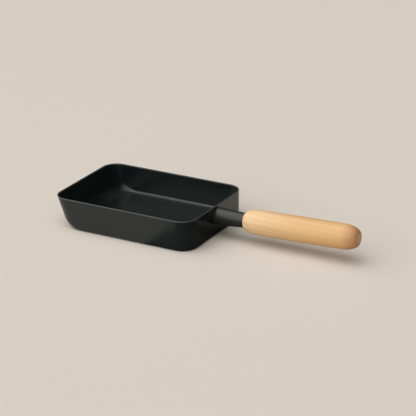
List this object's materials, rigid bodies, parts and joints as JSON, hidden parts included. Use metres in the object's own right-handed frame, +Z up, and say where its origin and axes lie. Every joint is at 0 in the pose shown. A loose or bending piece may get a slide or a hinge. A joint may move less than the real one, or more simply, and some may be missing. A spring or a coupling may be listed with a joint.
{
  "type": "tamagoyaki pan",
  "caption": "Rectangular dark coated aluminium omelette pan with a sloped far end, rounded corners, a conical neck and a turned wooden handle.",
  "frame": {"origin": "on the resting plane, under the middle of the pan's rim", "axes": "+X from the sloped end of the pan along the handle, +Y across the pan, +Z up"},
  "size_m": [0.3854, 0.144, 0.0464],
  "materials": {
    "coated_aluminium": "dark greenish grey non-stick coating, satin",
    "sheet_steel": "brushed, perforated",
    "insert_steel": "zinc plated",
    "neck_enamel": "die-cast with a satin charcoal enamel",
    "maple": "turned and oiled, fine lengthwise grain",
    "bolt_steel": "zinc plated",
    "washer_steel": "zinc plated",
    "spring_steel": "plain spring steel",
    "plug_wood": "end grain, oiled",
    "pin_steel": "bright drawn"
  },
  "bodies": {
    "root": {"pan_body": "coated_aluminium", "induction_sheet": "sheet_steel", "thread_insert": "insert_steel", "neck_sleeve": "neck_enamel", "handle_grip": "maple", "tie_bolt": "bolt_steel", "flat_washer": "washer_steel", "spring_washer": "spring_steel", "end_plug": "plug_wood", "locating_pin": "pin_steel"}
  },
  "joints": []
}
